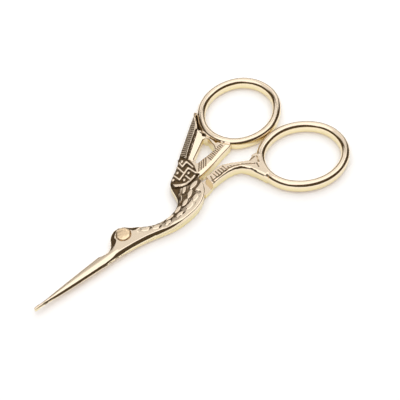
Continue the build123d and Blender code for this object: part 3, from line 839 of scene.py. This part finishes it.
class Outline:
    """The closed loops of a plan, with the nearest place on them and points that follow them."""

    def __init__(self, loops):
        self.loops = loops
        self.points = np.concatenate(loops)
        self.before = np.concatenate([np.roll(loop, 1, 0) for loop in loops])
        self.after = np.concatenate([np.roll(loop, -1, 0) for loop in loops])
        self.tree = kdtree.KDTree(len(self.points))
        for i, (x, y) in enumerate(self.points):
            self.tree.insert((x, y, 0), i)
        self.tree.balance()

    def nearest(self, places):
        """The nearest place on the loops, and how far off it is."""
        index = np.array([self.tree.find((x, y, 0))[1] for x, y in places])
        start = self.points[index]
        best, gap = start, np.full(len(places), np.inf)
        for other in (self.before[index], self.after[index]):
            side = other - start
            t = np.clip(((places - start) * side).sum(1) / (side * side).sum(1), 0, 1)[:, None]
            foot = start + t * side
            reach = np.hypot(*(places - foot).T)
            best = np.where((reach < gap)[:, None], foot, best)
            gap = np.minimum(reach, gap)
        return best, gap

    def contains(self, places):
        """Whether each place is inside the outer loop and outside the holes."""
        inside = np.zeros(len(places), bool)
        px, py = places.T
        for (ax, ay), (bx, by) in zip(self.points, self.after):
            if ay != by:
                crosses = (ay > py) != (by > py)
                inside ^= crosses & (px < ax + (py - ay) * (bx - ax) / (by - ay))
        return inside

    def rows(self, distances):
        """Places at even distances inside the outline, apart from where two edges are too close."""
        along = self.after - self.before
        inward = np.stack([-along[:, 1], along[:, 0]], 1) / np.hypot(*along.T)[:, None]
        found = []
        for distance in distances:
            places = self.points + inward * distance
            found.append(places[self.nearest(places)[1] > row_share * distance])
        return np.concatenate(found)

    def grid(self, spacing, least, x_range):
        """An even staggered grid inside the outline, no nearer to it than least."""
        found = []
        low, high = self.points[:, 1].min(), self.points[:, 1].max()
        for k, y in enumerate(np.arange(low + spacing / 3, high, spacing * 0.866)):
            ay, by = self.points[:, 1], self.after[:, 1]
            crosses = (ay > y) != (by > y)
            ax, bx = self.points[crosses, 0], self.after[crosses, 0]
            crossings = np.sort(ax + (y - ay[crosses]) * (bx - ax) / (by[crosses] - ay[crosses]))
            for start, end in zip(crossings[::2], crossings[1::2]):
                stagger = k % 2 / 2
                first = math.ceil(max(start, x_range[0]) / spacing + stagger) - stagger
                row = np.arange(first * spacing, min(end, x_range[1]), spacing)
                found.append(np.column_stack([row, np.full(len(row), y)]))
        places = np.concatenate(found)
        return places[self.nearest(places)[1] > least]


def signed_area(loop):
    """Area of a loop: positive where it turns left."""
    x, y = loop.T
    return 0.5 * (x * np.roll(y, -1) - np.roll(x, -1) * y).sum()


def turned(loops):
    """Loops that keep the solid on their left: the outer one turns left, holes turn right."""
    areas = [signed_area(loop) for loop in loops]
    outer = areas.index(max(areas, key=abs))
    as_wanted = [(area > 0) == (i == outer) for i, area in enumerate(areas)]
    return [loop if right else loop[::-1] for loop, right in zip(loops, as_wanted)]


outline_spacing = 0.15
outlines, outlines_less_finger_hole = {}, {}
for half, loops in cuts.items():
    loops = turned([smooth_loop(loop, outline_spacing) for loop in loops])
    off_middle = [np.hypot(*(loop.mean(0) - ring_middle(half))) for loop in loops]
    finger_hole = off_middle.index(min(off_middle))
    outlines[half] = Outline(loops)
    outlines_less_finger_hole[half] = Outline(loops[:finger_hole] + loops[finger_hole + 1:])
    print(half, "outline has", len(outlines[half].points), "points")

# %% Places for points
edge_rows = [0.03, 0.08, 0.15, 0.25, 0.38, 0.52]
carving_grid, blade_grid = 0.13, 0.2
carving_start_x = -24.5
grid_margin = 0.58
step_radii = {"front": 27.6, "rear": 27.4}
step_spacing, step_margin = 0.15, 0.05
bar_spacing, bar_outline_margin = 0.2, 0.012
edge_row_clearance, grid_clearance = 0.02, 0.05
bar_least, edge_row_least, carving_least, blade_least = 0.03, 0.025, 0.07, 0.1
far_off = 99


def thinned(places, taken, least):
    """Places that are at least so far from the places already taken."""
    tree = kdtree.KDTree(len(taken))
    for i, (x, y) in enumerate(taken):
        tree.insert((x, y, 0), i)
    tree.balance()
    return np.array([place for place in places if tree.find((*place, 0))[2] > least])


def step_points(half, outline):
    """Places along the round step behind the body, where a half goes to its full thickness."""
    radius = step_radii[half]
    turn = np.arange(0, 2 * math.pi, step_spacing / radius)
    arc = np.stack([pivot_x + radius * np.cos(turn), pivot_y + radius * np.sin(turn)], 1)
    arc = arc[arc[:, 0] > 0]
    return arc[outline.contains(arc) & (outline.nearest(arc)[1] > step_margin)]


def sheet_points(half, outline):
    """Every place on the plan where the mesh gets a point, and the runs of points that stay joined."""
    arc = step_points(half, outline)
    on_ring = ring_rows(half, bar_spacing)
    on_ring = on_ring[outline.contains(on_ring) & (outline.nearest(on_ring)[1] > bar_outline_margin)]
    by_edge = outline.rows(edge_rows)
    by_edge = by_edge[np.abs(ring_gap(half, *by_edge.T)) > ring_bar / 2 + edge_row_clearance]
    carved = outline.grid(carving_grid, grid_margin, (carving_start_x, far_off))
    carved = carved[np.abs(ring_gap(half, *carved.T)) > ring_bar / 2 + grid_clearance]
    blade = outline.grid(blade_grid, grid_margin, (-far_off, carving_start_x))
    places = np.concatenate([outline.points, arc])
    groups = [(on_ring, bar_least), (by_edge, edge_row_least)]
    groups += [(carved, carving_least), (blade, blade_least)]
    for group, least in groups:
        places = np.concatenate([places, thinned(group, places, least)])
    edges, start = [], 0
    for loop in outline.loops:
        edges += [(start + i, start + (i + 1) % len(loop)) for i in range(len(loop))]
        start += len(loop)
    along_arc = np.hypot(*(arc[1:] - arc[:-1]).T) < 2 * step_spacing
    edges += [(start + i, start + i + 1) for i in np.flatnonzero(along_arc).tolist()]
    return places, edges


print("points", carving_grid, "mm apart over the carving and", blade_grid, "mm over the blade")

# %% [markdown]
# ## Triangles, sheets and walls
# The triangulation fills the hollows of the outline too, so triangles outside it are thrown away.
# Each half then gets three copies of its points: on the carved face, on the plane where the halves
# meet, and on the far side, for the part beyond the step that has its full thickness. Upright walls
# join them along the outline and along the step, so the mesh is closed, as a solid piece must be.

# %% Triangles and walls
parting_gap = 0.04
longest_sure_side = 0.5


def triangles_inside(places, edges, outline):
    """Joins the places with triangles and keeps those inside the outline."""
    found = delaunay_2d_cdt([Vector(place) for place in places], edges, [], 0, 1e-6)
    spots, faces = np.array([tuple(spot) for spot in found[0]]), np.array(found[2])
    near, gap = outline.nearest(spots)
    on_edge = gap < 1e-4
    sides = spots[faces] - np.roll(spots[faces], 1, 1)
    longest = np.hypot(sides[..., 0], sides[..., 1]).max(1)
    doubtful = on_edge[faces].all(1) | (longest > longest_sure_side)
    keep = ~doubtful
    keep[doubtful] = outline.contains(spots[faces[doubtful]].mean(1))
    return spots, faces[keep], near, gap


def closed_faces(faces, thin, count):
    """Faces of a closed solid over a sheet: the sheet, its underside, the step and the walls.

    Points come three times over, count apart: outer face, middle plane, far side. The underside of
    a thin triangle is on the middle plane, that of any other on the far side.
    """
    solid = [tuple(face) for face in faces]
    under = np.where(thin[:, None], faces + count, faces + 2 * count)
    solid += [tuple(face[::-1]) for face in under]
    owner = {}
    for number, (a, b, c) in enumerate(faces):
        for edge in ((a, b), (b, c), (c, a)):
            owner[edge] = number
    on_step = np.zeros(count, bool)
    for (a, b), number in owner.items():
        other = owner.get((b, a))
        if other is not None and thin[number] and not thin[other]:
            on_step[[a, b]] = True
            solid.append((b + count, a + count, a + 2 * count, b + 2 * count))
    for (a, b), number in owner.items():
        if (b, a) in owner:
            continue
        shift = count if thin[number] else 2 * count
        wall = [b, a]
        if not thin[number] and on_step[a]:
            wall.append(a + count)
        wall += [a + shift, b + shift]
        if not thin[number] and on_step[b]:
            wall.append(b + count)
        solid.append(tuple(wall))
    return solid


print("the halves are parted by", parting_gap, "mm")

# %% Both halves
sharp_angle = 38


def carved_half(half):
    """One half as a closed mesh: carved outer face, flat inner face with the step, and the walls."""
    side = 1 if half == "front" else -1
    places, edges = sheet_points(half, outlines[half])
    spots, faces, near, gap = triangles_inside(places, edges, outlines[half])
    gap_outside = outlines_less_finger_hole[half].nearest(spots)[1]
    height, hollow = outer_height(half, *spots.T, near, gap, gap_outside)
    off_pivot = np.hypot(*(spots[faces].mean(1) - (pivot_x, pivot_y)).T)
    outer = np.column_stack([spots, mid_z + side * height])
    shared = np.column_stack([spots, np.full(len(spots), mid_z + side * parting_gap / 2)])
    far_side = np.column_stack([spots, mid_z - side * height])
    solid = closed_faces(faces, off_pivot < step_radii[half], len(spots))
    if side < 0:
        solid = [face[::-1] for face in solid]
    mesh = bpy.data.meshes.new(half)
    mesh.from_pydata(np.concatenate([outer, shared, far_side]) * mm, [], solid)
    # Painted shade: the carved value darkens the hollows of the outer face and far side, not the middle plane.
    painted_hollow_shade = np.concatenate([hollow, 0 * hollow, hollow]).astype(np.float32)
    mesh.attributes.new("carved", "FLOAT", "POINT").data.foreach_set("value", painted_hollow_shade)
    shape = bmesh.new()
    shape.from_mesh(mesh)
    loose = [vert for vert in shape.verts if not vert.link_faces]
    bmesh.ops.delete(shape, geom=loose, context="VERTS")
    open_edges = sum(not edge.is_manifold for edge in shape.edges)
    shape.to_mesh(mesh)
    shape.free()
    mesh.shade_smooth()
    mesh.set_sharp_from_angle(angle=math.radians(sharp_angle))
    print(half, "points", len(mesh.vertices), "faces", len(mesh.polygons), "open edges", open_edges)
    return bpy.data.objects.new(half + "_carved", mesh)


for half in ("front", "rear"):
    piece = carved_half(half)
    bpy.context.scene.collection.objects.link(piece)
    piece.data.materials.append(half_gold)
    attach(piece, half)
    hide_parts(half + "_half")

# %% [markdown]
# ## Screw
# The eye of the bird is the screw's head: a low dome, a little uneven from hand filing, on a plain
# shank. A dome is a profile turned round the axis, so its points come in rings, and two crossed
# waves give the uneven top.

# %% Screw
head_radius, shank_radius = 1.9, 0.9
seat_z = mid_z + seat_height
dome_top = thickness - seat_z
head_profile = [
    (0.0, 1.0), (0.15, 0.998), (0.3, 0.99), (0.45, 0.965), (0.6, 0.92), (0.73, 0.85), (0.84, 0.75),
    (0.92, 0.62), (0.97, 0.45), (1.0, 0.25), (0.995, 0.06), (0.975, 0.0), (0.47, 0.0),
]
screw_low = mid_z - seat_height - 0.15
end_chamfer = 0.08
shank_start = 0.03
unevenness = 0.02
screw_steps = 72
screw_sharp_angle = 50


def filed(x, y, z):
    """Small hollows and rises of the hand-filed head, which never rise above the pair's face."""
    wave = math.sin(3.3 * x + 0.6 + 1.4 * math.sin(2.3 * y)) * math.sin(3.9 * y - 0.4)
    return min(z + unevenness * wave * (z > seat_z + unevenness), thickness)


def turned_screw():
    rings = [(radius * head_radius, seat_z + rise * dome_top) for radius, rise in head_profile]
    rings += [(shank_radius, seat_z - shank_start), (shank_radius, screw_low + end_chamfer)]
    rings += [(shank_radius - end_chamfer, screw_low), (0.0, screw_low)]
    points, faces = [], []
    for radius, z in rings:
        for k in range(screw_steps):
            turn = 2 * math.pi * k / screw_steps
            x, y = radius * math.cos(turn), radius * math.sin(turn)
            points.append((pivot_x + x, pivot_y + y, filed(x, y, z)))
    for start in range(0, (len(rings) - 1) * screw_steps, screw_steps):
        for k in range(screw_steps):
            a, b = start + k, start + (k + 1) % screw_steps
            faces.append((a, a + screw_steps, b + screw_steps, b))
    mesh = bpy.data.meshes.new("screw")
    mesh.from_pydata(np.array(points) * mm, [], faces)
    shape = bmesh.new()
    shape.from_mesh(mesh)
    bmesh.ops.remove_doubles(shape, verts=shape.verts, dist=1e-7)
    bmesh.ops.recalc_face_normals(shape, faces=shape.faces)
    print("screw open edges", sum(not edge.is_manifold for edge in shape.edges))
    shape.to_mesh(mesh)
    shape.free()
    mesh.shade_smooth()
    mesh.set_sharp_from_angle(angle=math.radians(screw_sharp_angle))
    return bpy.data.objects.new("screw_domed", mesh)


screw = turned_screw()
bpy.context.scene.collection.objects.link(screw)
screw.data.materials.append(screw_gold)
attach(screw, "rear")
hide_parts("pivot_screw")

# %% [markdown]
# ## Table
# The table is a plain white sheet that keeps a faint, warm shadow. What the camera and reflections
# see of it is lifted by a little emission, so that it comes out white without more light on the
# scissors.

# %% Table
table_half = 4.0
table_colour, table_glow = (0.82, 0.88, 0.93, 1), (0.25, 0.19, 0.15, 1)
corners = [(-table_half, -table_half, 0), (table_half, -table_half, 0)]
corners += [(table_half, table_half, 0), (-table_half, table_half, 0)]
table_mesh = bpy.data.meshes.new("table")
table_mesh.from_pydata(corners, [], [(0, 1, 2, 3)])
table = bpy.data.objects.new("table", table_mesh)
bpy.context.scene.collection.objects.link(table)
table_white, table_shader, here = new_material("table_white")
table_shader.inputs["Base Color"].default_value = table_colour
table_shader.inputs["Roughness"].default_value = 1.0
table_shader.inputs["Specular IOR Level"].default_value = 0.0
table_shader.inputs["Emission Strength"].default_value = 1.0
seen = here.node("ShaderNodeLightPath", output="Is Camera Ray")
for ray in ("Is Glossy Ray", "Is Transmission Ray"):
    seen = seen + here.node("ShaderNodeLightPath", output=ray)
seen.mix((0, 0, 0, 1), table_glow).feed(table_shader, "Emission Color")
table.data.materials.append(table_white)
print("table", 2 * table_half, "m wide")

# %% [markdown]
# ## Light
# Polished metal shows only what it reflects. Broad soft lights overhead make the level faces
# cream, a card at the far side lights the faces that lean away, and the dim room between them gives
# the dark edges that draw the shape. The overhead light is three sheets at slightly different
# heights that overlap, so that it fades in steps towards its edges. One more light fills the table
# and stays out of reflections: metal has no colour but its reflections, so it leaves the gold alone.

# %% Light
room_colour = (0.08, 0.058, 0.035, 1)
world = bpy.data.worlds.new("dim_room")
world.use_nodes = True
world.node_tree.nodes["Background"].inputs["Color"].default_value = room_colour
bpy.context.scene.world = world


def soft_light(name, place, aim, size, radiance, in_reflections=True):
    """A rectangle of even light, as bright from anywhere in front of it as its radiance."""
    lamp = bpy.data.lights.new(name, "AREA")
    lamp.shape = "RECTANGLE"
    lamp.size, lamp.size_y = size
    lamp.energy = radiance * math.pi * size[0] * size[1]
    light = bpy.data.objects.new(name, lamp)
    light.location = place
    light.rotation_euler = (Vector(aim) - Vector(place)).to_track_quat("-Z", "Y").to_euler()
    light.visible_camera = False
    light.visible_glossy = in_reflections
    bpy.context.scene.collection.objects.link(light)
    print(name, "gives", round(lamp.energy, 2), "W")


card_distance, card_height = 0.62, Vector((0, 0, 0.36))
soft_light("overhead", (0.06, 0.09, 0.50), (0.06, 0.09, 0), (0.92, 0.74), 0.5)
soft_light("overhead_middle", (0.06, 0.05, 0.49), (0.06, 0.05, 0), (0.88, 0.62), 0.3)
soft_light("overhead_near", (0.09, -0.035, 0.48), (0.09, -0.035, 0), (0.78, 0.41), 0.45)
soft_light("far_card", card_distance * toward + card_height, (0, 0, 0), (0.96, 0.34), 0.85)
soft_light("table_fill", (0, 0, 0.6), (0, 0, 0), (2.0, 2.0), 0.52, in_reflections=False)
